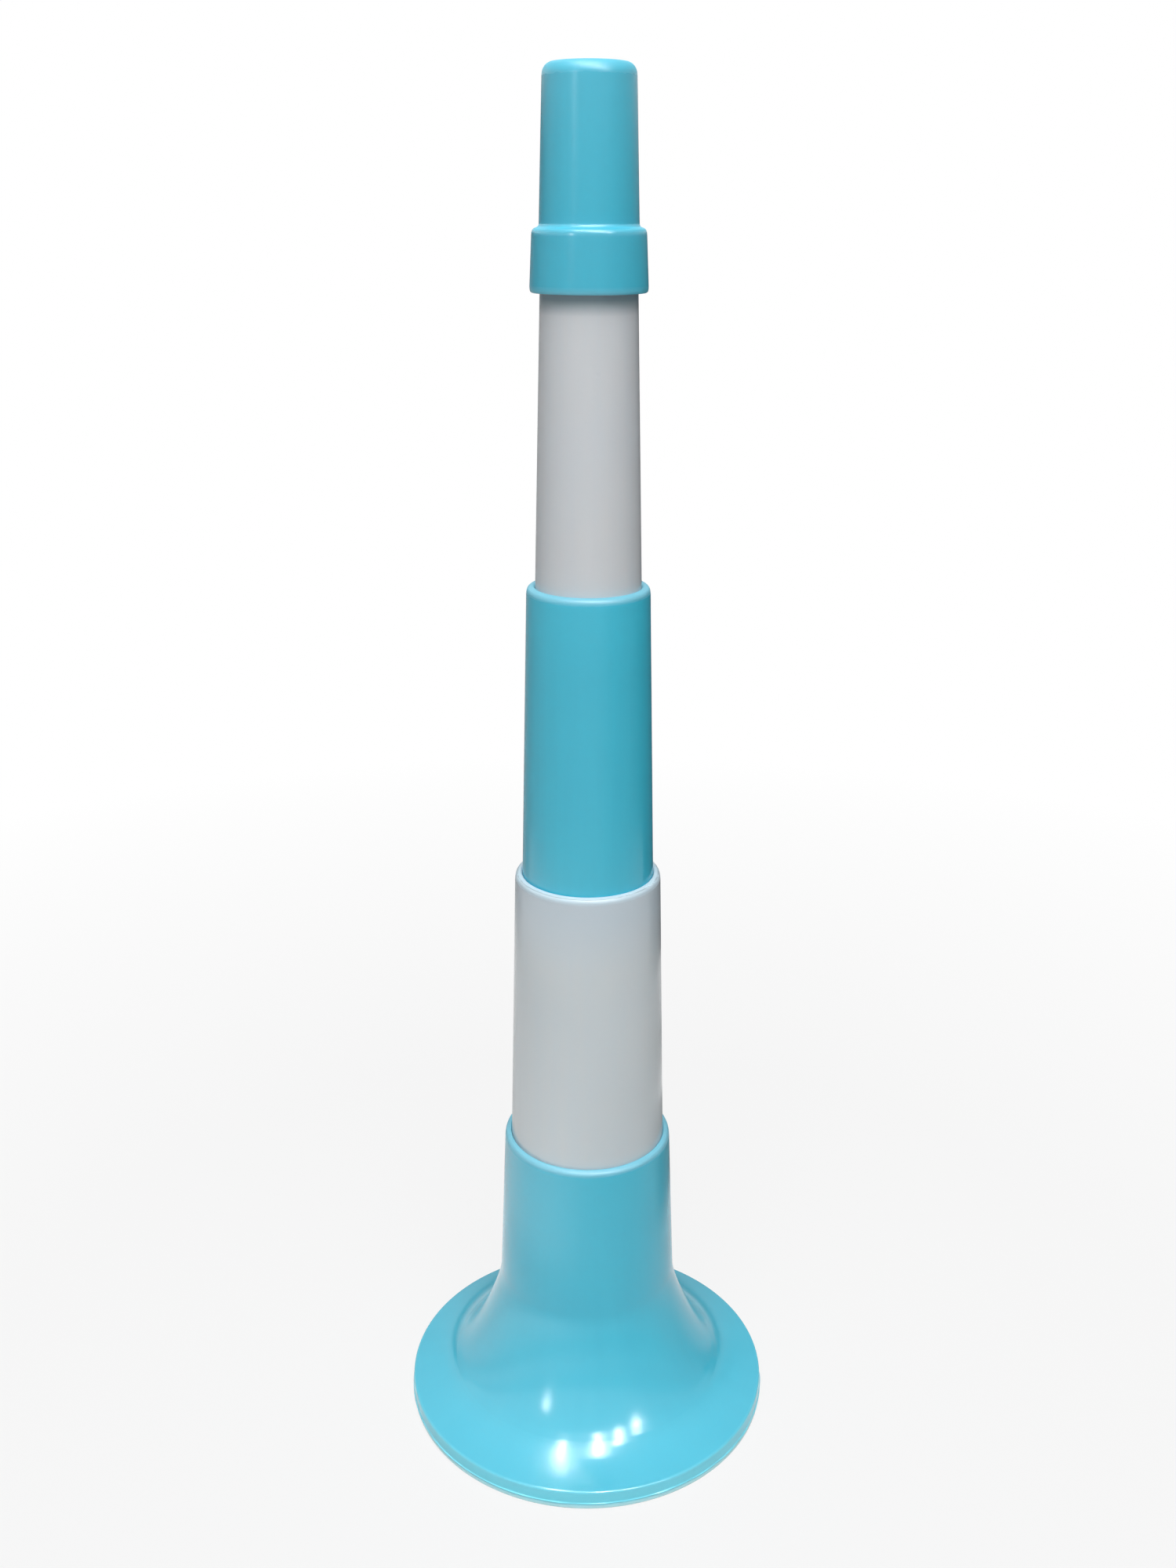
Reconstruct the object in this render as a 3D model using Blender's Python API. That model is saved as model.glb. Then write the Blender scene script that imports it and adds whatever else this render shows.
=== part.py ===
"""A telescopic plastic stadium horn, standing drawn out on its bell.

Three tapered tubes slide in each other and in the neck of the bell. Each one
is drawn up until its cone wedges in the rim of the piece below. The mouthpiece
holds a beating reed: a tongue, the shallot it beats on and a clamp ring.

Lengths are in metres and +Z is up. The origin is the middle of the circle on
which the bell stands.
"""

import math

import bmesh
import bpy
from mathutils import Vector

# Facets of round shapes
SEGMENTS = 56
ROUND_STEPS = 3
CURVE_STEPS = 10
TONGUE_STEPS = 6
SHARP_ANGLE = math.radians(28)
MERGE_DISTANCE = 0.000001

# Clearances
SLIDE_GAP = 0.00025
SEAT_GAP = 0.0003
REED_GAP = 0.0002

# Lengths along the horn when it is drawn out
BELL_HEIGHT = 0.04605
LOWER_SHOWN = 0.0414
MIDDLE_SHOWN = 0.0404
UPPER_SHOWN = 0.03645
MOUTHPIECE_HEIGHT = 0.0257
OVERLAP = 0.007
SOCKET_DEPTH = 0.005

# Tubes: radius at the blowing end, growth of radius per length, walls and edges
UPPER_TOP_RADIUS = 0.00594
UPPER_TAPER = 0.0245
MIDDLE_TAPER = 0.024
LOWER_TAPER = 0.0255
UPPER_WALL = 0.0008
MIDDLE_WALL = 0.00092
LOWER_WALL = 0.00078
LOCK_BAND = 0.0045
RIM_ROUND = 0.0005
EDGE_BREAK = 0.00015

# Bell: neck, flare, bend, brim and lip
NECK_TAPER = 0.041
NECK_WALL = 0.00072
FLARE_HEIGHT = 0.0221
FLARE_START_REACH = 0.0044
FLARE_END_REACH = 0.0042
BEND_RADIUS = 0.02045
BEND_HEIGHT = 0.0058
BEND_TURN = math.radians(48)
BRIM_START_REACH = 0.0019
BRIM_END_REACH = 0.0036
CREASE_TURN = math.radians(75)
CREASE_INSET = 0.0001
LIP_RADIUS = 0.02725
LIP_HEIGHT = 0.003
LIP_WALL = 0.00115
LIP_ROUND = 0.0004

# Mouthpiece: tip, blow hole, chamber and collar
TIP_RADIUS = 0.00563
TIP_TAPER = 0.0255
TIP_ROUND_WIDTH = 0.00125
TIP_ROUND_DEPTH = 0.00145
BLOW_HOLE_RADIUS = 0.0032
BLOW_HOLE_DEPTH = 0.0026
BLOW_HOLE_ROUND = 0.0004
CHAMBER_RADIUS = 0.0044
CHAMBER_SLOPE = 0.0012
COLLAR_HEIGHT = 0.0075
COLLAR_RADIUS = 0.00732
COLLAR_TAPER = 0.042
COLLAR_ROUND = 0.0005

# Reed body, with its flange, block and shallot
FLANGE_RADIUS = 0.0054
FLANGE_THICKNESS = 0.0012
BLOCK_HEIGHT = 0.0016
SHALLOT_RADIUS = 0.0032
SHALLOT_HEIGHT = 0.0112
SHALLOT_FACE = 0.0011
SHALLOT_WALL = 0.0008
SLOT_WIDTH = 0.0024
SLOT_LAND = 0.0006

# Reed tongue and the ring that clamps it
TONGUE_WIDTH = 0.0036
TONGUE_LENGTH = 0.0101
TONGUE_THICKNESS = 0.00025
TONGUE_OPENING = 0.00045
CLAMP_HEIGHT = 0.0022

# How far a cutter reaches past what it cuts
CUT_PAST = 0.001

# Colours and roughness of the plastics and of the tongue's metal
CYAN = (0.08, 0.50, 0.66)
WHITE = (0.76, 0.78, 0.81)
IVORY = (0.72, 0.70, 0.62)
BRASS = (0.78, 0.57, 0.22)
GLOSS = 0.22
SATIN = 0.42


class Cone:
    """The outside and the bore of a tapered tube, by height above its lower end."""

    def __init__(self, length, top_radius, taper, wall):
        self.length = length
        self.top_radius = top_radius
        self.taper = taper
        self.wall = wall

    def outer(self, height):
        return self.top_radius + self.taper * (self.length - height)

    def bore(self, height):
        return self.outer(height) - self.wall


def cone_around(inner, length, taper, wall):
    """The cone whose rim closes on the inner one, OVERLAP above the inner one's lower end."""
    return Cone(length, inner.outer(OVERLAP) + SLIDE_GAP + wall, taper, wall)


UPPER = Cone(UPPER_SHOWN + OVERLAP + SOCKET_DEPTH, UPPER_TOP_RADIUS, UPPER_TAPER, UPPER_WALL)
MIDDLE = cone_around(UPPER, MIDDLE_SHOWN + OVERLAP, MIDDLE_TAPER, MIDDLE_WALL)
LOWER = cone_around(MIDDLE, LOWER_SHOWN + OVERLAP, LOWER_TAPER, LOWER_WALL)
NECK = cone_around(LOWER, BELL_HEIGHT, NECK_TAPER, NECK_WALL)

# Heights inside the mouthpiece, from its lower end
FLANGE_BOTTOM = SOCKET_DEPTH + SEAT_GAP
FLANGE_TOP = FLANGE_BOTTOM + FLANGE_THICKNESS
POCKET_TOP = FLANGE_TOP + SEAT_GAP
BLOCK_TOP = FLANGE_TOP + BLOCK_HEIGHT
CLAMP_BOTTOM = BLOCK_TOP + SEAT_GAP
CLAMP_TOP = CLAMP_BOTTOM + CLAMP_HEIGHT

# Depths in front of the reed's middle
TONGUE_BACK = SHALLOT_FACE + REED_GAP
TONGUE_FRONT = TONGUE_BACK + TONGUE_THICKNESS


def clear_scene():
    """Empties the scene."""
    for obj in list(bpy.data.objects):
        bpy.data.objects.remove(obj, do_unlink=True)


def principled(name, colour, roughness, metallic=0.0):
    """A plain material of one colour."""
    material = bpy.data.materials.new(name)
    material.use_nodes = True
    shader = material.node_tree.nodes["Principled BSDF"]
    shader.inputs["Base Color"].default_value = (*colour, 1.0)
    shader.inputs["Roughness"].default_value = roughness
    shader.inputs["Metallic"].default_value = metallic
    return material


def arc(centre, width, depth, start, end, steps=ROUND_STEPS):
    """Points of an elliptical arc, with its angles in degrees from +radius towards +height."""
    points = []
    for step in range(steps + 1):
        angle = math.radians(start + (end - start) * step / steps)
        points.append((centre[0] + width * math.cos(angle), centre[1] + depth * math.sin(angle)))
    return points


def bezier(start, start_turn, start_reach, end, end_turn, end_reach):
    """Points and turns of a curve that falls outwards. A turn is the angle from straight down."""
    first = Vector(start)
    last = Vector(end)
    second = first + start_reach * Vector((math.sin(start_turn), -math.cos(start_turn)))
    third = last - end_reach * Vector((math.sin(end_turn), -math.cos(end_turn)))
    samples = []
    for step in range(CURVE_STEPS + 1):
        t = step / CURVE_STEPS
        s = 1 - t
        point = s**3 * first + 3 * s * s * t * second + 3 * s * t * t * third + t**3 * last
        slope = s * s * (second - first) + 2 * s * t * (third - second) + t * t * (last - third)
        samples.append((point, math.atan2(slope.x, -slope.y)))
    return samples


def add_object(name, mesh, place, parent, material):
    """Links a mesh as a smooth-shaded object that stands at a place in its parent."""
    mesh.shade_smooth()
    mesh.set_sharp_from_angle(angle=SHARP_ANGLE)
    obj = bpy.data.objects.new(name, mesh)
    obj.location = place
    obj.parent = parent
    if material:
        mesh.materials.append(material)
    bpy.context.scene.collection.objects.link(obj)
    return obj


def turned(name, outline, place, parent, material):
    """Turns a closed outline of (radius, height) points about Z."""
    shape = bmesh.new()
    points = [shape.verts.new((radius, 0, height)) for radius, height in outline]
    edges = [shape.edges.new((points[i - 1], points[i])) for i in range(len(points))]
    bmesh.ops.spin(
        shape,
        geom=points + edges,
        cent=(0, 0, 0),
        axis=(0, 0, 1),
        angle=math.tau,
        steps=SEGMENTS,
    )
    bmesh.ops.remove_doubles(shape, verts=shape.verts, dist=MERGE_DISTANCE)
    bmesh.ops.recalc_face_normals(shape, faces=shape.faces)
    return finished(name, shape, place, parent, material)


def prism(name, outline, low, high, place, parent, material=None):
    """Raises a closed outline of (x, y) points from one height to another."""
    shape = bmesh.new()
    base = shape.faces.new([shape.verts.new((x, y, low)) for x, y in outline])
    raised = bmesh.ops.extrude_face_region(shape, geom=[base])["geom"]
    top = [item for item in raised if isinstance(item, bmesh.types.BMVert)]
    bmesh.ops.translate(shape, verts=top, vec=(0, 0, high - low))
    bmesh.ops.recalc_face_normals(shape, faces=shape.faces)
    return finished(name, shape, place, parent, material)


def finished(name, shape, place, parent, material):
    """Turns a bmesh into an object."""
    mesh = bpy.data.meshes.new(name)
    shape.to_mesh(mesh)
    shape.free()
    return add_object(name, mesh, place, parent, material)


def cut(obj, cutter):
    """Takes a cutter's shape out of an object, and hides the cutter."""
    cutter.display_type = "WIRE"
    cutter.hide_render = True
    modifier = obj.modifiers.new(cutter.name, "BOOLEAN")
    modifier.operation = "DIFFERENCE"
    modifier.object = cutter


def rectangle(width, back, front):
    """Outline of a block from back to front, where front is further along -Y."""
    half = width / 2
    return [(-half, -front), (half, -front), (half, -back), (-half, -back)]


def flat_circle(radius, face):
    """Outline of a circle that is cut flat, face in front of its middle."""
    edge = math.asin(face / radius)
    sweep = math.pi + 2 * edge
    steps = SEGMENTS * 3 // 4
    angles = [-edge + sweep * step / steps for step in range(steps + 1)]
    return [(radius * math.cos(a), radius * math.sin(a)) for a in angles]


def circle(radius):
    """Outline of a whole circle."""
    angles = [math.tau * step / SEGMENTS for step in range(SEGMENTS)]
    return [(radius * math.cos(a), radius * math.sin(a)) for a in angles]


def tube_outline(cone, host, top_round):
    """A tube from its top edge down its outside, then up its bore.

    The lowest stretch of its outside, the lock band, runs along the bore of
    its host as that lies when the horn is drawn out.
    """
    height = cone.length
    host_height = host.length - OVERLAP
    top = cone.outer(height)

    def band(at):
        return host.bore(host_height + at) - SLIDE_GAP

    return [
        *arc((top - top_round, height - top_round), top_round, top_round, 90, 0),
        (cone.outer(OVERLAP), OVERLAP),
        (band(LOCK_BAND), LOCK_BAND),
        (band(EDGE_BREAK), EDGE_BREAK),
        (band(0) - EDGE_BREAK, 0),
        (cone.bore(0) + EDGE_BREAK, 0),
        (cone.bore(EDGE_BREAK), EDGE_BREAK),
        (cone.bore(height - EDGE_BREAK), height - EDGE_BREAK),
        (cone.bore(height) + EDGE_BREAK, height),
    ]


def bell_outline():
    """The bell from its rim down its outside to the lip, then up its bore."""
    neck_turn = math.atan(NECK_TAPER)
    neck_end = (NECK.outer(FLARE_HEIGHT), FLARE_HEIGHT)
    bend = (BEND_RADIUS, BEND_HEIGHT)
    crease = (LIP_RADIUS - CREASE_INSET, LIP_HEIGHT)
    flare = bezier(neck_end, neck_turn, FLARE_START_REACH, bend, BEND_TURN, FLARE_END_REACH)
    brim = bezier(bend, BEND_TURN, BRIM_START_REACH, crease, CREASE_TURN, BRIM_END_REACH)
    curve = flare + brim[1:]

    lip_bore = LIP_RADIUS - LIP_WALL
    inside = []
    for index, (point, turn) in enumerate(curve):
        wall = NECK_WALL + (LIP_WALL - NECK_WALL) * index / (len(curve) - 1)
        radius = point.x - wall * math.cos(turn)
        if radius < lip_bore:
            inside.append((radius, point.y - wall * math.sin(turn)))

    rim = NECK.outer(BELL_HEIGHT)
    return [
        *arc((rim - RIM_ROUND, BELL_HEIGHT - RIM_ROUND), RIM_ROUND, RIM_ROUND, 90, 0),
        *[tuple(point) for point, _ in curve],
        *arc((LIP_RADIUS - LIP_ROUND, LIP_ROUND), LIP_ROUND, LIP_ROUND, 0, -90),
        (lip_bore + EDGE_BREAK, 0),
        (lip_bore, EDGE_BREAK),
        *reversed(inside),
        (NECK.bore(BELL_HEIGHT - EDGE_BREAK), BELL_HEIGHT - EDGE_BREAK),
        (NECK.bore(BELL_HEIGHT) + EDGE_BREAK, BELL_HEIGHT),
    ]


def mouthpiece_outline():
    """The mouthpiece from its blow hole down its outside to the collar, then up its inside."""
    height = MOUTHPIECE_HEIGHT
    tip_foot = TIP_RADIUS + TIP_TAPER * (height - COLLAR_HEIGHT)
    collar_top = COLLAR_RADIUS - COLLAR_TAPER * COLLAR_HEIGHT
    fillet = collar_top - COLLAR_ROUND - tip_foot
    tip_round = (TIP_RADIUS - TIP_ROUND_WIDTH, height - TIP_ROUND_DEPTH)
    collar_round = (collar_top - COLLAR_ROUND, COLLAR_HEIGHT - COLLAR_ROUND)
    tube_top = UPPER.outer(UPPER.length) + SEAT_GAP
    tube_foot = UPPER.outer(UPPER.length - SOCKET_DEPTH) + SEAT_GAP
    hole_round = (BLOW_HOLE_RADIUS + BLOW_HOLE_ROUND, height - BLOW_HOLE_ROUND)
    hole_bottom = height - BLOW_HOLE_DEPTH
    return [
        *arc(tip_round, TIP_ROUND_WIDTH, TIP_ROUND_DEPTH, 90, 0, steps=2 * ROUND_STEPS),
        *arc((tip_foot + fillet, COLLAR_HEIGHT + fillet), fillet, fillet, 180, 270),
        *arc(collar_round, COLLAR_ROUND, COLLAR_ROUND, 90, 0)[1:],
        (COLLAR_RADIUS, EDGE_BREAK),
        (COLLAR_RADIUS - EDGE_BREAK, 0),
        (tube_foot + EDGE_BREAK, 0),
        (tube_foot, EDGE_BREAK),
        (tube_top, FLANGE_BOTTOM),
        (FLANGE_RADIUS + SEAT_GAP, FLANGE_BOTTOM),
        (FLANGE_RADIUS + SEAT_GAP, POCKET_TOP),
        (CHAMBER_RADIUS, POCKET_TOP),
        (CHAMBER_RADIUS, hole_bottom - CHAMBER_SLOPE),
        (BLOW_HOLE_RADIUS, hole_bottom),
        *arc(hole_round, BLOW_HOLE_ROUND, BLOW_HOLE_ROUND, 180, 90),
    ]


def make_bell():
    return turned("bell", bell_outline(), (0, 0, 0), None, principled("bell", CYAN, GLOSS))


def make_tube(name, cone, host, parent, top_round, colour):
    """A tube drawn out of its host as far as it goes."""
    place = (0, 0, host.length - OVERLAP)
    outline = tube_outline(cone, host, top_round)
    return turned(name, outline, place, parent, principled(name, colour, GLOSS))


def make_mouthpiece(parent):
    place = (0, 0, UPPER.length - SOCKET_DEPTH)
    material = principled("mouthpiece", CYAN, GLOSS)
    return turned("mouthpiece", mouthpiece_outline(), place, parent, material)


def make_reed_body(parent):
    """A flange under the mouthpiece's shoulder, a block that centres it, and the shallot.

    The shallot is a blind tube with one flat side, and a slot through that
    side lets air in under the tongue.
    """
    block_radius = CHAMBER_RADIUS - SEAT_GAP
    shallot_top = BLOCK_TOP + SHALLOT_HEIGHT
    channel_radius = SHALLOT_RADIUS - SHALLOT_WALL
    channel_face = SHALLOT_FACE - SHALLOT_WALL
    slot_low = CLAMP_TOP + SLOT_LAND
    slot_high = CLAMP_BOTTOM + TONGUE_LENGTH - SLOT_LAND
    outline = [
        (0, shallot_top),
        (SHALLOT_RADIUS - EDGE_BREAK, shallot_top),
        (SHALLOT_RADIUS, shallot_top - EDGE_BREAK),
        (SHALLOT_RADIUS, BLOCK_TOP),
        (block_radius, BLOCK_TOP),
        (block_radius, FLANGE_TOP),
        (FLANGE_RADIUS, FLANGE_TOP),
        (FLANGE_RADIUS, FLANGE_BOTTOM),
        (0, FLANGE_BOTTOM),
    ]
    body = turned("reed_body", outline, (0, 0, 0), parent, principled("reed_body", IVORY, SATIN))

    front = rectangle(2 * SHALLOT_RADIUS + CUT_PAST, SHALLOT_FACE, SHALLOT_RADIUS + CUT_PAST)
    channel = flat_circle(channel_radius, channel_face)
    slot = rectangle(SLOT_WIDTH, 0, SHALLOT_FACE + CUT_PAST)
    low = FLANGE_BOTTOM - CUT_PAST
    high = shallot_top + CUT_PAST
    cut(body, prism("face_cutter", front, BLOCK_TOP, high, (0, 0, 0), parent))
    cut(body, prism("channel_cutter", channel, low, shallot_top - SHALLOT_WALL, (0, 0, 0), parent))
    cut(body, prism("slot_cutter", slot, slot_low, slot_high, (0, 0, 0), parent))
    return body


def make_clamp_ring(parent):
    """A ring that goes over the shallot and holds the foot of the tongue against it."""
    material = principled("reed_clamp_ring", IVORY, SATIN)
    outside = circle(CHAMBER_RADIUS - SEAT_GAP)
    opening = flat_circle(SHALLOT_RADIUS + REED_GAP, TONGUE_FRONT + REED_GAP)
    low = CLAMP_BOTTOM - CUT_PAST
    high = CLAMP_TOP + CUT_PAST
    ring = prism("reed_clamp_ring", outside, CLAMP_BOTTOM, CLAMP_TOP, (0, 0, 0), parent, material)
    cut(ring, prism("clamp_cutter", opening, low, high, (0, 0, 0), parent))
    return ring


def make_tongue(parent):
    """A thin strip that stands off the shallot's slot, more towards its tip.

    Its origin is where it leaves the clamp ring, about which it bends.
    """
    half = TONGUE_WIDTH / 2
    free = TONGUE_LENGTH - CLAMP_HEIGHT
    stations = [(-CLAMP_HEIGHT, 0)]
    for step in range(TONGUE_STEPS + 1):
        share = step / TONGUE_STEPS
        stations.append((share * free, TONGUE_OPENING * share**2))

    shape = bmesh.new()
    sections = []
    for height, lift in stations:
        back = -lift
        front = -lift - TONGUE_THICKNESS
        corners = [(-half, front), (half, front), (half, back), (-half, back)]
        sections.append([shape.verts.new((x, y, height)) for x, y in corners])
    for lower, upper in zip(sections, sections[1:]):
        for i in range(4):
            j = (i + 1) % 4
            shape.faces.new((lower[i], lower[j], upper[j], upper[i]))
    shape.faces.new(list(reversed(sections[0])))
    shape.faces.new(sections[-1])
    bmesh.ops.recalc_face_normals(shape, faces=shape.faces)
    material = principled("reed_tongue", BRASS, SATIN, metallic=1.0)
    return finished("reed_tongue", shape, (0, -TONGUE_BACK, CLAMP_TOP), parent, material)


clear_scene()
bell = make_bell()
lower_tube = make_tube("lower_tube", LOWER, NECK, bell, RIM_ROUND, WHITE)
middle_tube = make_tube("middle_tube", MIDDLE, LOWER, lower_tube, RIM_ROUND, CYAN)
upper_tube = make_tube("upper_tube", UPPER, MIDDLE, middle_tube, EDGE_BREAK, WHITE)
mouthpiece = make_mouthpiece(upper_tube)
make_reed_body(mouthpiece)
make_clamp_ring(mouthpiece)
make_tongue(mouthpiece)
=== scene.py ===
"""Looks of the telescopic stadium horn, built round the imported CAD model.

The bell, the three tubes and the mouthpiece are turned again from the outlines
of their CAD nodes, with finer curves, rounded corners and the marks of the
mould. The reed keeps its CAD solids. Lengths are in metres.
"""

import math

import bmesh
import bpy
from mathutils import Matrix, Vector, noise


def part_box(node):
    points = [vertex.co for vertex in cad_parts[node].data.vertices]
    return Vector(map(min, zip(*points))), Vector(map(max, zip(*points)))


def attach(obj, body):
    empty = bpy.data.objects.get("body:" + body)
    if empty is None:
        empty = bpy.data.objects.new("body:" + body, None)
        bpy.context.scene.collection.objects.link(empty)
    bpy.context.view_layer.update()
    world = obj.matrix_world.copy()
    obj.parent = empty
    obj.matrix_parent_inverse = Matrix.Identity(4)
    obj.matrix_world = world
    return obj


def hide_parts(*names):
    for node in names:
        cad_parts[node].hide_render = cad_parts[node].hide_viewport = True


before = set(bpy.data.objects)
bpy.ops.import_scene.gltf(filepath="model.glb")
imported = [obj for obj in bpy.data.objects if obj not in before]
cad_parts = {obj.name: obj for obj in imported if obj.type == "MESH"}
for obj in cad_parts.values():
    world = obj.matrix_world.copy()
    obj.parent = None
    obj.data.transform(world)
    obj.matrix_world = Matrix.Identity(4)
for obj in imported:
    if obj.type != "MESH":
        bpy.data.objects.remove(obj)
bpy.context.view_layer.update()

# Camera of the photograph
CAMERA_PLACE = Vector((0, -0.19893, 0.17369))
CAMERA_PITCH = math.radians(20.27)
CAMERA_ROLL = math.radians(0.12)
CAMERA_LENS = 35.638
CAMERA_SENSOR = 36.0
CAMERA_NEAR = 0.01

# Fineness of the turned meshes: steps round the axis, along curves and along straight stretches,
# and how far from its ends a stretch has a row that holds its shape
SEGMENTS = 224
CURVE_STEP = 0.0004
STRAIGHT_STEP = 0.002
SUPPORT = 0.00012

# A corner of an outline turns this far, or less beside a step that is so many times longer.
# It is rounded within its reach, in so many steps.
CORNER_TURN = math.radians(20)
BREAK_TURN = math.radians(6)
LONGER = 2.0
CORNER_REACH = 0.00022
CORNER_STEPS = 4

# The least turn of a curve, and how close to a plane or a height a point counts as on it
LEAST_BEND = 0.001
ON_PLANE = 0.000002

# How far a rim closes on the tube in it, down to what depth, where it is open again, and how
# far apart the rows of close stretches lie
RIM_CLOSE = 0.000225
RIM_DEPTH = 0.001
RIM_END = 0.002
RIM_ROW = 0.0001

# Soft edges: how far from the edge, down or up, and how deep the outside is drawn in there,
# and how far in from the outside the wall still follows
RIM_SOFT = (-0.0013, 0.00014)
COLLAR_TOP_SOFT = (-0.0010, 0.00012)
COLLAR_FOOT_SOFT = (0.0008, 0.00014)
COLLAR_HEIGHT = 0.0075
SOFT_WIDTH = 0.0008

# The line of flash round the lip, which stands out by a share that varies round its mean
FLASH_LEVEL = 0.0011
FLASH_PROUD = 0.00016
FLASH_WIDTH = 0.00015
FLASH_REACH = 3
FLASH_ROW = 0.00004
FLASH_SCALE = 330.0
FLASH_MEAN = 0.7
FLASH_VARIES = 0.6

# Gate marks: dimples left by the sprues, with their drop from the top and turn from the front
GATE_RADIUS = 0.0005
GATE_DEPTH = 0.00005
GATE_REACH = 2
GATE_ROW = 0.00015
MIDDLE_GATE = (0.0057, math.radians(3))
UPPER_GATE = (0.0142, math.radians(8.6))

# Turned pieces: node, body, material slot, whether it has a rim round a tube, and its gate mark
PIECES = [
    ("bell", "bell", "cyan_plastic", True, None),
    ("lower_tube", "lower_tube", "white_plastic", True, None),
    ("middle_tube", "middle_tube", "cyan_plastic", True, MIDDLE_GATE),
    ("upper_tube", "upper_section", "white_plastic", False, UPPER_GATE),
    ("mouthpiece", "upper_section", "cyan_plastic", False, None),
]

# Colours of the plastics and the brass, each varying between two
CYAN = (0.046, 0.515, 0.69)
CYAN_DEEP = (0.043, 0.49, 0.665)
BELL_CYAN = (0.049, 0.532, 0.71)
BELL_CYAN_DEEP = (0.046, 0.51, 0.688)
TIP_CYAN = (0.042, 0.475, 0.645)
TIP_CYAN_DEEP = (0.04, 0.452, 0.62)
WHITE = (0.61, 0.645, 0.68)
WHITE_WARM = (0.63, 0.65, 0.67)
COOL_WHITE = (0.585, 0.65, 0.685)
COOL_WHITE_WARM = (0.605, 0.655, 0.675)
IVORY = (0.72, 0.70, 0.62)
IVORY_DARK = (0.62, 0.59, 0.50)
BRASS = (0.78, 0.57, 0.22)
BRASS_DULL = (0.55, 0.38, 0.15)

# Colours of a tube's end that has another tube in it, painted as light through the wall from the
# tube behind; of thin edges, painted paler as light through them and mirrored light; and of the
# seat, a painted shade under the collar
CYAN_PAINTED_SEE_THROUGH = (0.048, 0.53, 0.71)
WHITE_PAINTED_SEE_THROUGH = (0.545, 0.63, 0.69)
CYAN_EDGE_PAINTED_LIGHT = (0.14, 0.49, 0.63)
WHITE_EDGE_PAINTED_LIGHT = (0.52, 0.66, 0.74)
BELL_EDGE_PAINTED_LIGHT = (0.165, 0.51, 0.65)
COLLAR_EDGE_PAINTED_HIGHLIGHT = (0.12, 0.56, 0.73)
LIP_SIDE_PAINTED_LIGHT = (0.18, 0.76, 0.92)
LIP_EDGE_PAINTED_HIGHLIGHT = (0.52, 0.90, 0.96)
SEAT_PAINTED_SHADE = (0.24, 0.33, 0.37)

# Where a zone of colour starts and where it is full, up from the level that it belongs to
OVERLAP_RISE = (-0.004, 0.004)
RIM_RISE = (-0.001, -0.0005)
LIP_SIDE_RISE = (0.0031, 0.0028)
LIP_EDGE_RISE = (0.0011, 0.0006)
SEAT_RISE = (-0.0025, -0.0006)
COLLAR_FOOT_RISE = (0.0009, 0.0003)
COLLAR_TOP_RISE = (-0.0006, -0.0002)
TIP_SIDE_RISE = (0.0001, 0.0005)
TIP_END_RISE = (-0.0017, -0.0007)

# Roughness of the plastics and of their zones
BELL_ROUGHNESS = 0.17
BELL_ZONE_ROUGHNESS = 0.18
TUBE_ROUGHNESS = 0.2
UPPER_ROUGHNESS = 0.22
TIP_ROUGHNESS = 0.21
TIP_END_ROUGHNESS = 0.5
COLLAR_TOP_ROUGHNESS = 0.45
RIM_ROUGHNESS = 0.48

# Marks of the glossy plastics by scale and detail, and what their tone and haze are spread over
STREAKS = (7.0, 5.0)
STREAK_CLIMB = 5.0
CLOUDS = (90.0, 2.0)
TONE_RANGE = (0.7, 1.3)
PEEL = (900.0, 3.0)
PEEL_HEIGHT = 0.000003
HAZE_RANGE = (0.35, 0.65)
HAZE_DEPTH = 0.03

# Turning marks of the mould by scale and height
TURNING = (2600.0, 0.0000008)
BELL_TURNING = (1300.0, 0.000004)
TURNING_DETAIL = 2.0

# Light that goes through the thin plastic
GLOW = 0.1
GLOW_RADIUS = (0.6, 1.0, 1.0)
GLOW_SCALE = 0.0008

# Marks of the reed's plastic and brass by scale and detail, with their heights, the ranges that
# are spread out, and the roughness that they give
GRAIN = (4000.0, 4.0)
GRAIN_HEIGHT = 0.000004
GRAIN_ROUGHNESS = (0.42, 0.55)
STAINS = (350.0, 3.0)
STAIN_RANGE = (0.35, 0.65)
BRASS_LINES = (9000.0, 4.0)
BRASS_STRETCH = (1.0, 1.0, 0.04)
BRASS_LINE_HEIGHT = 0.000002
BRASS_ROUGHNESS = (0.22, 0.42)
BRASS_PATCHES = (500.0, 4.0)
BRASS_PATCH_RANGE = (0.45, 0.7)
MARK_RANGE = (0.3, 0.7)

# Room and floor
ROOM_LIGHT = 0.25
FLOOR_COLOUR = (0.55, 0.55, 0.55)
FLOOR_ROUGHNESS = 0.9
FLOOR_WHITE = 0.85
FLOOR_SIZE = 8.0
SHADOW_INNER = 0.1
SHADOW_OUTER = 0.3

# The soft lamp that lights the horn from the front, by its rise from the point that it faces
KEY_TARGET = Vector((0, 0, 0.09))
KEY_RISE = math.radians(61)
KEY_DISTANCE = 1.1
KEY_SIZE = 0.8
KEY_POWER = 11.8

# Ceiling lamps that only gloss shows: middle, length, width and turn, at the ceiling's height
CEILING_HEIGHT = 1.0
CEILING_STRENGTH = 64.0
CEILING_LAMPS = [
    (-0.22, -0.39, 1.2, 0.05, math.radians(-12)),
    (0.135, -0.67, 1.15, 0.085, math.radians(7)),
    (0.50, -0.92, 1.1, 0.085, math.radians(24)),
    (1.14, -1.24, 1.1, 0.12, math.radians(40)),
    (-2.02, -2.80, 1.2, 0.2, math.radians(-39)),
]

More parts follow.
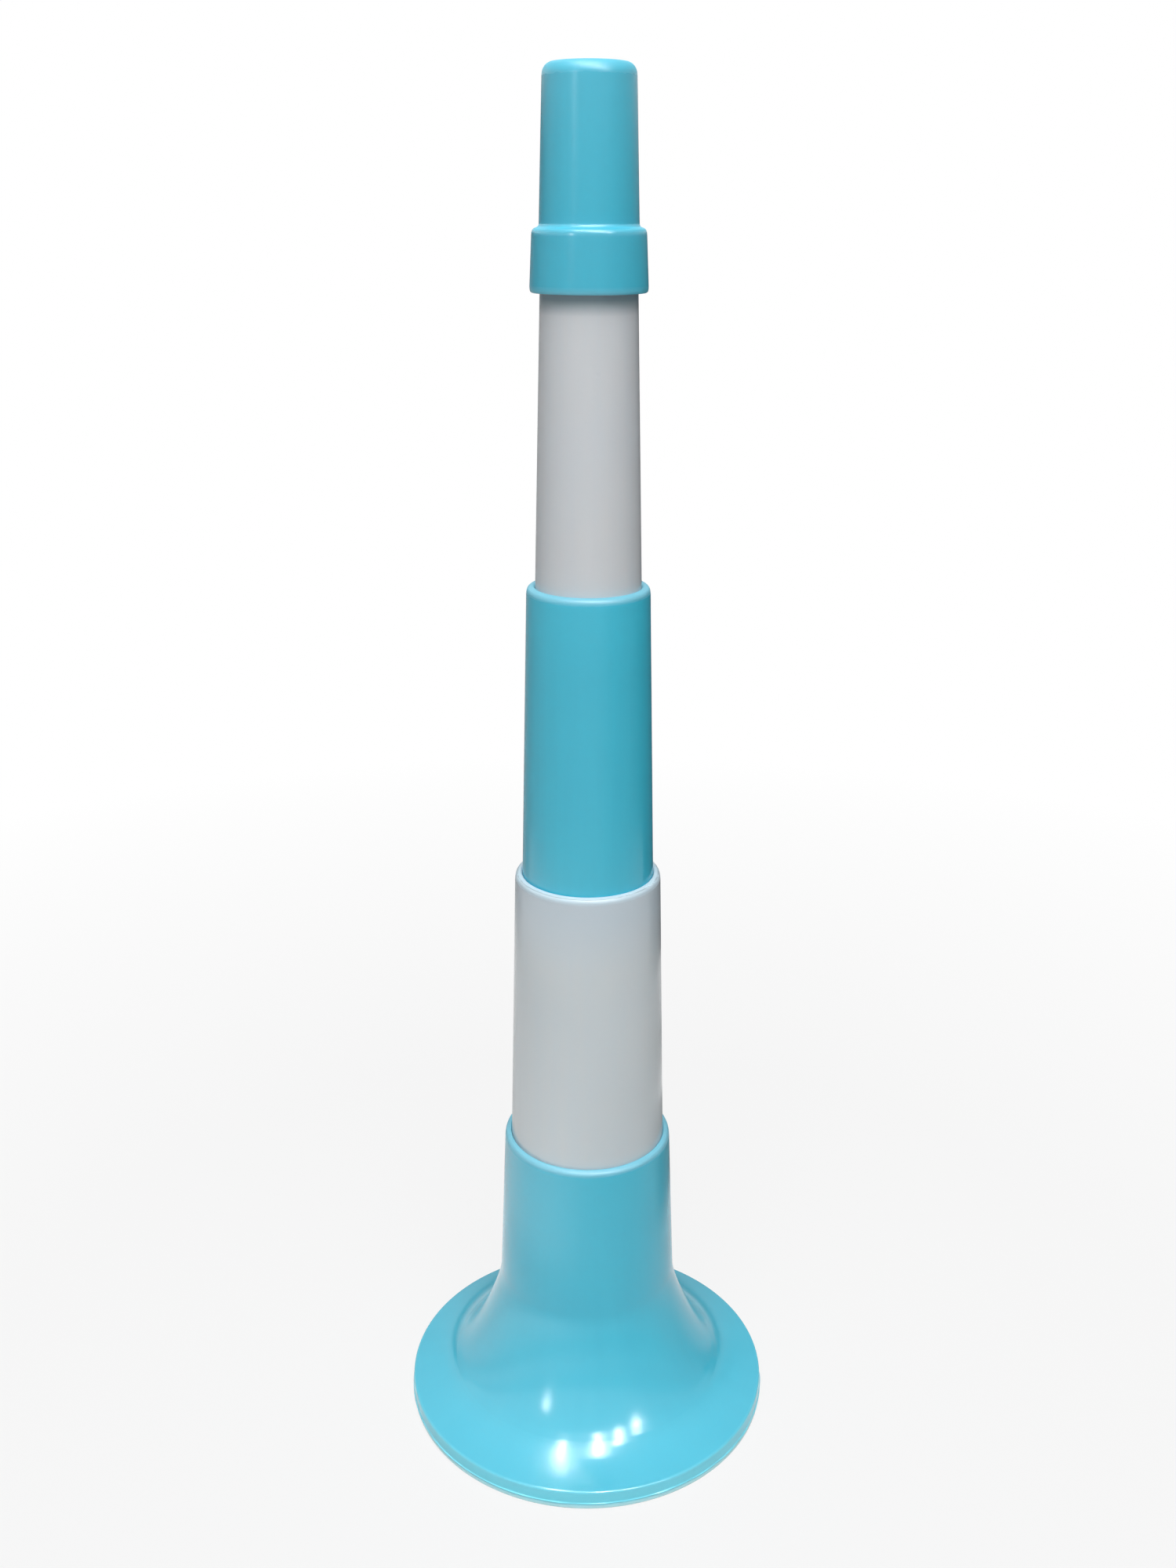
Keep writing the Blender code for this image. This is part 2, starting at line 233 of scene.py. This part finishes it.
# Cards round the horn that only gloss shows. Each has its strengths by the turn from the front,
# and rings of radius, height, the share of that strength, and the strength of the rest.
CARD_STEP = 5
CARDS = {
    "near_card": (
        [
            (-180, 0.5), (-140, 0.85), (-100, 1.7), (-60, 2.4), (-35, 2.4), (0, 1.5),
            (50, 1.15), (88, 0.95), (112, 0.25), (180, 0.2),
        ],
        [
            (0.0285, 0.001, 0.3, 1.1),
            (0.052, 0.0015, 0.3, 1.1),
            (0.062, 0.002, 1, 1),
            (0.085, 0.003, 1, 1),
            (0.14, 0.008, 0.2, 1),
        ],
    ),
    "low_card": (
        [
            (-125, 0.9), (-105, 1.8), (-80, 2.4), (-30, 2.2), (0, 1.8),
            (45, 1.3), (85, 1.1), (110, 0.8),
        ],
        [(0.15, 0.008, 0, 1), (0.15, 0.017, 1, 1), (0.152, 0.024, 1, 1), (0.156, 0.036, 0, 1)],
    ),
    "right_card": (
        [(15, 1.0), (45, 0.45), (75, 0.36), (105, 0.06), (180, 0.06)],
        [(0.085, 0.0035, 0, 1), (0.12, 0.006, 1, 1), (3.2, 0.1, 1, 1), (3.2, 0.45, 0.5, 1)],
    ),
    "left_card": (
        [(-180, 0.42), (-125, 0.42), (-95, 0.75), (-60, 0.93), (0, 1.0)],
        [(0.15, 0.0015, 0, 1), (0.18, 0.01, 1, 1), (3.2, 0.1, 1.2, 1), (3.2, 0.45, 1.4, 1)],
    ),
    "tent_card": (
        [
            (-180, 1.0), (-140, 1.5), (-110, 2.4), (-80, 2.8), (-30, 2.8), (0, 2.6),
            (60, 2.1), (100, 1.6), (140, 0.9), (180, 1.0),
        ],
        [(3.2, 0.6, 1, 1), (3.2, 1.6, 1, 1), (1.5, 1.6, 0.6, 3), (0.01, 1.6, 0.2, 3)],
    ),
}


def unit(vector):
    """A vector of length 1 in the same direction."""
    return vector / vector.length


def hump(distance):
    """The height of a smooth hump: 1 in its middle, and nearly 0 at a distance of 2."""
    return math.exp(-2 * distance**2)


def smooth(share):
    """A share from 0 to 1 that leaves and reaches its ends gently."""
    return share**2 * (3 - 2 * share)


def limited(share):
    """A share kept between 0 and 1."""
    return min(max(share, 0.0), 1.0)


def cad_outline(node):
    """The closed outline of a turned node as (radius, height) points, its outside first."""
    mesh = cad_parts[node].data
    spots = {}
    for vertex in mesh.vertices:
        x, y, z = vertex.co
        if x > 0 and abs(y) < ON_PLANE:
            spots[vertex.index] = (round(x, 7), round(z, 7))
    near = {}
    for edge in mesh.edges:
        a, b = (spots.get(index) for index in edge.vertices)
        if a and b and a != b:
            near.setdefault(a, set()).add(b)
            near.setdefault(b, set()).add(a)
    start = max(near, key=lambda spot: (spot[1], spot[0]))
    here = max(near[start], key=lambda spot: spot[0])
    outline = [start]
    while here != start:
        outline.append(here)
        here, = near[here] - {outline[-2]}
    return [Vector(spot) for spot in outline]


def sides(outline, index):
    """The steps to a point of an outline and on from it."""
    before = outline[index] - outline[index - 1]
    after = outline[(index + 1) % len(outline)] - outline[index]
    return before, after


def is_sharp(outline, index):
    """Whether a point is a corner, and not a point of a curve."""
    before, after = sides(outline, index)
    uneven = max(before.length, after.length) > LONGER * min(before.length, after.length)
    return before.angle(after) > (BREAK_TURN if uneven else CORNER_TURN)


def tangent_at(outline, index):
    """Direction at a point: a straight neighbour's, or that of a circle through three points."""
    before, after = sides(outline, index)
    if before.length > LONGER * after.length:
        return unit(before)
    if after.length > LONGER * before.length:
        return unit(after)
    return unit(before * after.length / before.length + after * before.length / after.length)


def rounded(before, point, after):
    """The points of a rounded corner."""
    reach = min(CORNER_REACH, (point - before).length / 2, (after - point).length / 2)
    first = point + reach * unit(before - point)
    last = point + reach * unit(after - point)
    points = []
    for step in range(CORNER_STEPS + 1):
        t = step / CORNER_STEPS
        points.append((1 - t) ** 2 * first + 2 * t * (1 - t) * point + t**2 * last)
    return points


def stretch(start, end, start_tangent, end_tangent):
    """Points inside a curve between two outline points, closer where it ends."""
    length = (end - start).length
    bends = start_tangent.angle(end_tangent) > LEAST_BEND
    steps = max(1, math.ceil(length / (CURVE_STEP if bends else STRAIGHT_STEP)))
    shares = [step / steps for step in range(1, steps)]
    if length > 4 * SUPPORT:
        shares += [SUPPORT / length, 1 - SUPPORT / length]
    points = []
    for t in sorted(shares):
        points.append(
            (2 * t**3 - 3 * t**2 + 1) * start
            + (t**3 - 2 * t**2 + t) * length * start_tangent
            + (3 * t**2 - 2 * t**3) * end
            + (t**3 - t**2) * length * end_tangent
        )
    return points


def fine_outline(outline):
    """An outline with its gentle stretches curved and its corners rounded."""
    count = len(outline)
    sharp = [is_sharp(outline, index) for index in range(count)]
    corners = []
    for index in range(count):
        if sharp[index]:
            corners.append(rounded(outline[index - 1], outline[index], outline[(index + 1) % count]))
        else:
            corners.append([outline[index]])

    fine = []
    for index in range(count):
        after = (index + 1) % count
        start = corners[index][-1]
        end = corners[after][0]
        chord = outline[after] - outline[index]
        start_tangent = unit(chord) if sharp[index] else tangent_at(outline, index)
        end_tangent = unit(chord) if sharp[after] else tangent_at(outline, after)
        fine += corners[index]
        if (end - start).length > SUPPORT:
            fine += stretch(start, end, start_tangent, end_tangent)
    return fine


def with_rows(outline, low, high, spacing, rising):
    """Adds close rows between two heights: to the bore, where the outline rises, or outside."""
    rows = []
    for index, point in enumerate(outline):
        rows.append(point)
        after = outline[(index + 1) % len(outline)]
        bottom, top = sorted((point.y, after.y))
        steps = max(1, math.ceil((point - after).length / spacing))
        if (after.y > point.y) == rising and top > low and bottom < high:
            rows += [point.lerp(after, step / steps) for step in range(1, steps)]
    return rows


def close_rim(outline):
    """Widens the wall inwards below the rim, so that it closes on the tube in it."""
    top = max(point.y for point in outline)
    outline = with_rows(outline, top - RIM_END, top, RIM_ROW, True)
    wall = [point.x for point in outline if top - RIM_DEPTH < point.y < top - RIM_ROW]
    bore, outside = min(wall), max(wall)
    closed = []
    for point in outline:
        share = 1 - limited((top - point.y - RIM_DEPTH) / (RIM_END - RIM_DEPTH))
        reach = limited((outside - point.x) / (outside - bore))
        closed.append(point - Vector((RIM_CLOSE * reach * smooth(share), 0)))
    return closed


def soften(outline, edge, reach, inset):
    """Draws the outside in towards the height of an edge, which it reaches from above or below."""
    low, high = sorted((edge, edge + reach))
    outline = with_rows(outline, low, high, RIM_ROW, False)
    outside = max(point.x for point in outline if low <= point.y <= high)
    soft = []
    for point in outline:
        if low - ON_PLANE <= point.y <= high + ON_PLANE:
            share = min(1 - (point.y - edge) / reach, 1.0)
            side = max(1 - (outside - point.x) / SOFT_WIDTH, 0.0)
            point = point - Vector((inset * side * share**2, 0))
        soft.append(point)
    return soft


def turned(outline):
    """A bmesh of a closed outline turned about Z."""
    shape = bmesh.new()
    rings = []
    for step in range(SEGMENTS):
        angle = math.tau * step / SEGMENTS
        across, along = math.sin(angle), -math.cos(angle)
        rings.append([shape.verts.new((r * across, r * along, z)) for r, z in outline])
    for step in range(SEGMENTS):
        here, there = rings[step - 1], rings[step]
        for index in range(len(outline)):
            shape.faces.new((here[index - 1], there[index - 1], there[index], here[index]))
    return shape


def raise_flash(shape, outside):
    """Raises an uneven line of flash round the lip."""
    for vert in shape.verts:
        around = Vector((vert.co.x, vert.co.y, 0))
        distance = (vert.co.z - FLASH_LEVEL) / FLASH_WIDTH
        if abs(distance) < FLASH_REACH and outside - around.length < SOFT_WIDTH / 2:
            uneven = FLASH_MEAN + FLASH_VARIES * noise.noise(around * FLASH_SCALE)
            vert.co += FLASH_PROUD * uneven * hump(distance) * unit(around)


def press_gate(shape, outline, height, turn):
    """Presses the dimple of a gate into the outside."""
    radius = max(point.x for point in outline if abs(point.y - height) < GATE_ROW)
    centre = Vector((radius * math.sin(turn), -radius * math.cos(turn), height))
    for vert in shape.verts:
        distance = (vert.co - centre).length / GATE_RADIUS
        if distance < GATE_REACH:
            depth = GATE_DEPTH * hump(distance)
            vert.co -= depth * unit(Vector((vert.co.x, vert.co.y, 0)))


def soft_outline(node, has_rim):
    """A node's fine outline with the soft edges of its rim or its collar."""
    outline = fine_outline(cad_outline(node))
    low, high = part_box(node)
    if has_rim:
        outline = close_rim(soften(outline, high.z, *RIM_SOFT))
    if node == "mouthpiece":
        outline = soften(outline, low.z, *COLLAR_FOOT_SOFT)
        outline = soften(outline, low.z + COLLAR_HEIGHT, *COLLAR_TOP_SOFT)
    return outline


def add_piece(name, shape, material, body, node):
    """Links a bmesh as a piece that stands for a CAD node."""
    bmesh.ops.recalc_face_normals(shape, faces=shape.faces)
    mesh = bpy.data.meshes.new(name)
    shape.to_mesh(mesh)
    shape.free()
    mesh.shade_smooth()
    mesh.materials.append(material)
    piece = bpy.data.objects.new(name, mesh)
    bpy.context.scene.collection.objects.link(piece)
    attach(piece, body)
    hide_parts(node)


def make_piece(node, body, material, has_rim, gate):
    """Turns a node again as a fine piece, with its flash or its gate mark."""
    outline = soft_outline(node, has_rim)
    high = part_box(node)[1]
    if node == "bell":
        reach = FLASH_REACH * FLASH_WIDTH
        outline = with_rows(outline, FLASH_LEVEL - reach, FLASH_LEVEL + reach, FLASH_ROW, False)
    if gate:
        drop, turn = gate
        height = high.z - drop
        reach = GATE_REACH * GATE_RADIUS
        outline = with_rows(outline, height - reach, height + reach, GATE_ROW, False)
    shape = turned(outline)
    if node == "bell":
        raise_flash(shape, high.x)
    if gate:
        press_gate(shape, outline, height, turn)
    add_piece(node + "_moulding", shape, material, body, node)


class Tree:
    """A node tree in which one call adds a node and joins its inputs."""

    def __init__(self, owner):
        owner.use_nodes = True
        self.nodes = owner.node_tree.nodes
        self.links = owner.node_tree.links

    def set(self, node, inputs):
        """Joins a node's inputs to sockets, or sets their values."""
        for name, value in inputs.items():
            if isinstance(value, bpy.types.NodeSocket):
                self.links.new(value, node.inputs[name])
            else:
                node.inputs[name].default_value = value

    def add(self, kind, inputs, output=0, **settings):
        """Adds a shader node, and gives one of its outputs."""
        node = self.nodes.new("ShaderNode" + kind)
        for name, value in settings.items():
            setattr(node, name, value)
        self.set(node, inputs)
        return node.outputs[output]

    def place(self):
        """A point's place in the frame."""
        return self.nodes.new("ShaderNodeTexCoord").outputs["Object"]

    def math(self, operation, *values, clamp=False):
        return self.add("Math", dict(enumerate(values)), operation=operation, use_clamp=clamp)

    def vector(self, operation, *values, output="Vector"):
        return self.add("VectorMath", dict(enumerate(values)), output=output, operation=operation)

    def noise(self, vector, scale, detail):
        inputs = {"Vector": vector, "Scale": scale, "Detail": detail}
        return self.add("TexNoise", inputs, output="Fac")

    def spread(self, value, low, high, to_low=0.0, to_high=1.0):
        """Spreads a value from one range over another, and stops at its ends."""
        inputs = {0: value, 1: low, 2: high, 3: to_low, 4: to_high}
        return self.add("MapRange", inputs)

    def mix(self, share, first, last):
        """Mixes two numbers."""
        return self.add("Mix", {"Factor": share, 2: first, 3: last})

    def mix_colours(self, share, first, last):
        """Mixes two colours, each a socket or three numbers."""
        inputs = {"Factor": share}
        for name, colour in ((6, first), (7, last)):
            inputs[name] = (*colour, 1) if isinstance(colour, tuple) else colour
        return self.add("Mix", inputs, output=2, data_type="RGBA")

    def bump(self, height, distance, normal=None):
        inputs = {"Height": height, "Distance": distance, "Strength": 1.0}
        if normal:
            inputs["Normal"] = normal
        return self.add("Bump", inputs)


def new_material(name):
    """A material, its tree and its shader."""
    material = bpy.data.materials.new(name)
    tree = Tree(material)
    return material, tree, tree.nodes["Principled BSDF"]


def round_place(tree):
    """Where a point of a turned piece is: its place, its direction from the axis, and its ring."""
    place = tree.place()
    flat = tree.vector("MULTIPLY", place, (1, 1, 0))
    around = tree.vector("NORMALIZE", flat)
    radius = tree.vector("LENGTH", flat, output="Value")
    height = tree.add("SeparateXYZ", {0: place}, output="Z")
    ring = tree.add("CombineXYZ", {"X": radius, "Y": height})
    return place, around, height, ring


def zone(level, rise, colour, roughness):
    """A zone of a plastic: where it starts, where it is full, its colour and its roughness."""
    start, full = rise
    return level + start, level + full, colour, roughness


def glossy_plastic(name, colours, roughness, zones, turning=TURNING):
    """Moulded plastic with flow streaks, mould marks and zones of other colours."""
    material, tree, shader = new_material(name)
    place, around, height, ring = round_place(tree)

    climb = tree.add("CombineXYZ", {"Z": tree.math("MULTIPLY", height, STREAK_CLIMB)})
    streaks = tree.noise(tree.vector("ADD", around, climb), *STREAKS)
    clouds = tree.noise(place, *CLOUDS)
    tone = tree.spread(tree.math("ADD", streaks, clouds), *TONE_RANGE)
    colour = tree.mix_colours(tone, *colours)
    for start, full, zone_colour, zone_roughness in zones:
        share = tree.spread(height, start, full)
        colour = tree.mix_colours(share, colour, zone_colour)
        roughness = tree.mix(share, roughness, zone_roughness)

    turning_scale, turning_height = turning
    peel = tree.noise(place, *PEEL)
    rings = tree.noise(ring, turning_scale, TURNING_DETAIL)
    haze = tree.math("ADD", tree.math("MULTIPLY", streaks, 0.5), tree.math("MULTIPLY", peel, 0.5))
    uneven = tree.spread(haze, *HAZE_RANGE, -HAZE_DEPTH, HAZE_DEPTH)
    tree.set(shader, {
        "Base Color": colour,
        "Roughness": tree.math("ADD", roughness, uneven),
        "Normal": tree.bump(rings, turning_height, tree.bump(peel, PEEL_HEIGHT)),
        "Subsurface Weight": GLOW,
        "Subsurface Radius": GLOW_RADIUS,
        "Subsurface Scale": GLOW_SCALE,
    })
    return material


def moulded_plastic(name, colour, dark):
    """Dull plastic of the reed's parts, with a fine grain."""
    material, tree, shader = new_material(name)
    place = tree.place()
    grain = tree.noise(place, *GRAIN)
    stains = tree.noise(place, *STAINS)
    tree.set(shader, {
        "Base Color": tree.mix_colours(tree.spread(stains, *STAIN_RANGE), colour, dark),
        "Roughness": tree.spread(grain, *MARK_RANGE, *GRAIN_ROUGHNESS),
        "Normal": tree.bump(grain, GRAIN_HEIGHT),
    })
    return material


def rolled_brass(name, colour, dull):
    """Rolled brass strip, with lines along it and dull patches."""
    material, tree, shader = new_material(name)
    place = tree.place()
    lines = tree.noise(tree.vector("MULTIPLY", place, BRASS_STRETCH), *BRASS_LINES)
    patches = tree.noise(place, *BRASS_PATCHES)
    tree.set(shader, {
        "Base Color": tree.mix_colours(tree.spread(patches, *BRASS_PATCH_RANGE), colour, dull),
        "Metallic": 1.0,
        "Roughness": tree.spread(lines, *MARK_RANGE, *BRASS_ROUGHNESS),
        "Normal": tree.bump(lines, BRASS_LINE_HEIGHT),
    })
    return material


def dress_reed():
    """Gives the reed's CAD solids their materials."""
    ivory = moulded_plastic("ivory_plastic_moulded", IVORY, IVORY_DARK)
    brass = rolled_brass("brass_strip_rolled", BRASS, BRASS_DULL)
    for node, material in (("reed_body", ivory), ("reed_clamp_ring", ivory), ("reed_tongue", brass)):
        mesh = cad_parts[node].data
        mesh.materials.clear()
        mesh.materials.append(material)


def tube_zones(node, inner, over, edge, roughness):
    """The zones of a tube: where it has another tube in it, painted as light through the wall from
    the tube behind, and at its rim, painted paler as light through the thin edge and mirrored light.
    """
    inner_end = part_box(inner)[0].z
    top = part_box(node)[1].z
    return [
        zone(inner_end, OVERLAP_RISE, over, roughness),
        # Painted light: the rim is paler, standing in for light through the thin edge and mirrored
        # light.
        zone(top, RIM_RISE, edge, RIM_ROUGHNESS),
    ]


def bell_plastic():
    """The cyan of the bell, painted paler at its rim and its lip as light through the thin edges and
    mirrored light.
    """
    colours = (BELL_CYAN, BELL_CYAN_DEEP)
    return glossy_plastic("bell_cyan", colours, BELL_ROUGHNESS, [
        *tube_zones("bell", "lower_tube", CYAN, BELL_EDGE_PAINTED_LIGHT, BELL_ZONE_ROUGHNESS),
        # Painted light: the lip's side is paler, and a light line runs along its bottom edge, for
        # light through the thin lip and mirrored floor glare.
        zone(0, LIP_SIDE_RISE, LIP_SIDE_PAINTED_LIGHT, BELL_ZONE_ROUGHNESS),
        zone(0, LIP_EDGE_RISE, LIP_EDGE_PAINTED_HIGHLIGHT, BELL_ZONE_ROUGHNESS),
    ], BELL_TURNING)


def lower_tube_plastic():
    """A cool white, painted bluer where the cyan tube is behind it, as light through the wall."""
    zones = tube_zones("lower_tube", "middle_tube", WHITE_PAINTED_SEE_THROUGH, WHITE_EDGE_PAINTED_LIGHT, TUBE_ROUGHNESS)
    colours = (COOL_WHITE, COOL_WHITE_WARM)
    return glossy_plastic("lower_tube_white", colours, TUBE_ROUGHNESS, zones)


def middle_tube_plastic():
    """A cyan that is painted paler where the white tube is behind it, as light through the wall."""
    zones = tube_zones("middle_tube", "upper_tube", CYAN_PAINTED_SEE_THROUGH, CYAN_EDGE_PAINTED_LIGHT, TUBE_ROUGHNESS)
    return glossy_plastic("middle_tube_cyan", (CYAN, CYAN_DEEP), TUBE_ROUGHNESS, zones)


def upper_tube_plastic():
    """A white with a painted shade under the collar."""
    collar_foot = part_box("mouthpiece")[0].z
    # Painted shade: the collar's shadow on the tube, darkest just under its foot.
    zones = [zone(collar_foot, SEAT_RISE, SEAT_PAINTED_SHADE, UPPER_ROUGHNESS)]
    return glossy_plastic("upper_tube_white", (WHITE, WHITE_WARM), UPPER_ROUGHNESS, zones)


def mouthpiece_plastic():
    """A deeper cyan, dull on the roundings of the collar and the blowing end, with a painted pale
    highlight on the collar's lower edge.
    """
    low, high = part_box("mouthpiece")
    collar_top = low.z + COLLAR_HEIGHT
    return glossy_plastic("mouthpiece_cyan", (TIP_CYAN, TIP_CYAN_DEEP), TIP_ROUGHNESS, [
        # Painted highlight: a pale band along the rounded lower edge of the collar.
        zone(low.z, COLLAR_FOOT_RISE, COLLAR_EDGE_PAINTED_HIGHLIGHT, TIP_ROUGHNESS),
        zone(collar_top, COLLAR_TOP_RISE, TIP_CYAN, COLLAR_TOP_ROUGHNESS),
        zone(collar_top, TIP_SIDE_RISE, TIP_CYAN, TIP_ROUGHNESS),
        zone(high.z, TIP_END_RISE, TIP_CYAN, TIP_END_ROUGHNESS),
    ])


def make_horn():
    """The turned pieces, and the reed in its new materials."""
    dress_reed()
    plastics = {
        "bell": bell_plastic(),
        "lower_tube": lower_tube_plastic(),
        "middle_tube": middle_tube_plastic(),
        "upper_tube": upper_tube_plastic(),
        "mouthpiece": mouthpiece_plastic(),
    }
    for node, body, slot, has_rim, gate in PIECES:
        make_piece(node, body, plastics[node], has_rim, gate)


def shown_share(tree):
    """1 for rays from the camera and for mirrored and refracted ones, 0 for the others."""
    path = tree.nodes.new("ShaderNodeLightPath").outputs
    mirrored = tree.math("ADD", path["Is Glossy Ray"], path["Is Transmission Ray"])
    return tree.math("ADD", path["Is Camera Ray"], mirrored, clamp=True)


def make_world():
    """An even pale room, which shows as white."""
    world = bpy.data.worlds.new("room")
    bpy.context.scene.world = world
    tree = Tree(world)
    strength = tree.spread(shown_share(tree), 0.0, 1.0, ROOM_LIGHT, 1.0)
    tree.set(tree.nodes["Background"], {"Color": (1, 1, 1, 1), "Strength": strength})


def make_floor():
    """A pale floor that shows as white and keeps some of the horn's shadow."""
    material, tree, shader = new_material("floor")
    tree.set(shader, {
        "Base Color": (*FLOOR_COLOUR, 1),
        "Roughness": FLOOR_ROUGHNESS,
        "Specular IOR Level": 0.0,
    })
    white = tree.add("Emission", {"Color": (1, 1, 1, 1), "Strength": 1.0})
    distance = tree.vector("LENGTH", tree.place(), output="Value")
    white_share = tree.spread(distance, SHADOW_INNER, SHADOW_OUTER, FLOOR_WHITE, 1.0)
    share = tree.math("MULTIPLY", shown_share(tree), white_share)
    mixed = tree.add("MixShader", {0: share, 1: shader.outputs[0], 2: white})
    tree.set(tree.nodes["Material Output"], {"Surface": mixed})

    half = FLOOR_SIZE / 2
    corners = [(-half, -half, 0), (half, -half, 0), (half, half, 0), (-half, half, 0)]
    mesh = bpy.data.meshes.new("floor")
    mesh.from_pydata(corners, [], [(0, 1, 2, 3)])
    mesh.materials.append(material)
    floor = bpy.data.objects.new("floor", mesh)
    bpy.context.scene.collection.objects.link(floor)


def add_key_lamp():
    """The square lamp that lights the horn. It is not seen, and gloss doesn't show it."""
    towards = Vector((0, -math.cos(KEY_RISE), math.sin(KEY_RISE)))
    light = bpy.data.lights.new("key_lamp", "AREA")
    light.size = KEY_SIZE
    light.energy = KEY_POWER
    lamp = bpy.data.objects.new("key_lamp", light)
    lamp.location = KEY_TARGET + KEY_DISTANCE * towards
    lamp.rotation_euler = (-towards).to_track_quat("-Z", "Y").to_euler()
    lamp.visible_camera = False
    lamp.visible_glossy = False
    bpy.context.scene.collection.objects.link(lamp)


def add_ceiling_lamp(name, across, along, length, width, turn):
    """A long lamp on the ceiling, which only gloss shows."""
    light = bpy.data.lights.new(name, "AREA")
    light.shape = "ELLIPSE"
    light.size = width
    light.size_y = length
    area = math.pi / 4 * width * length
    light.energy = CEILING_STRENGTH * math.pi * area
    lamp = bpy.data.objects.new(name, light)
    lamp.location = (across, along, CEILING_HEIGHT)
    lamp.rotation_euler = (0, 0, turn)
    lamp.visible_camera = False
    lamp.visible_diffuse = False
    bpy.context.scene.collection.objects.link(lamp)


def tone_at(stops, turn):
    """The strength at a turn, from a list of turns and strengths."""
    for (low, first), (high, last) in zip(stops, stops[1:]):
        if turn <= high:
            return first + (last - first) * (turn - low) / (high - low)


def add_card(name, stops, rings, material):
    """A part of a ring round the horn, which only gloss shows."""
    corners, shines, faces = [], [], []
    wide = len(rings)
    turns = list(range(stops[0][0], stops[-1][0] + 1, CARD_STEP))
    for turn in turns:
        angle = math.radians(turn)
        for radius, height, share, rest in rings:
            corners.append((radius * math.sin(angle), -radius * math.cos(angle), height))
            shines.append(rest + share * (tone_at(stops, turn) - rest))
    for row in range(len(turns) - 1):
        for index in range(row * wide, row * wide + wide - 1):
            faces.append((index, index + 1, index + 1 + wide, index + wide))
    mesh = bpy.data.meshes.new(name)
    mesh.from_pydata(corners, [], faces)
    mesh.attributes.new("shine", "FLOAT", "POINT").data.foreach_set("value", shines)
    mesh.materials.append(material)
    card = bpy.data.objects.new(name, mesh)
    card.visible_camera = False
    card.visible_diffuse = False
    card.visible_transmission = False
    card.visible_shadow = False
    bpy.context.scene.collection.objects.link(card)


def card_material():
    """A surface that shines as its shine attribute says."""
    material, tree, shader = new_material("card")
    shine = tree.add("Attribute", {}, output="Fac", attribute_name="shine")
    shown = tree.add("Emission", {"Color": (1, 1, 1, 1), "Strength": shine})
    tree.set(tree.nodes["Material Output"], {"Surface": shown})
    return material


def make_lights():
    """The soft lamp in front, and the ceiling lamps and cards that gloss shows."""
    add_key_lamp()
    for number, lamp in enumerate(CEILING_LAMPS, 1):
        add_ceiling_lamp("ceiling_lamp_%d" % number, *lamp)
    material = card_material()
    for name, (stops, rings) in CARDS.items():
        add_card(name, stops, rings, material)


def make_camera():
    """The camera of the photograph."""
    data = bpy.data.cameras.new("camera")
    data.lens = CAMERA_LENS
    data.sensor_width = CAMERA_SENSOR
    data.clip_start = CAMERA_NEAR
    camera = bpy.data.objects.new("camera", data)
    tilt = Matrix.Rotation(math.radians(90) - CAMERA_PITCH, 4, "X")
    roll = Matrix.Rotation(CAMERA_ROLL, 4, "Z")
    camera.matrix_world = Matrix.Translation(CAMERA_PLACE) @ tilt @ roll
    bpy.context.scene.collection.objects.link(camera)
    bpy.context.scene.camera = camera


bpy.context.scene.view_settings.view_transform = "Standard"
make_world()
make_floor()
make_lights()
make_camera()
make_horn()
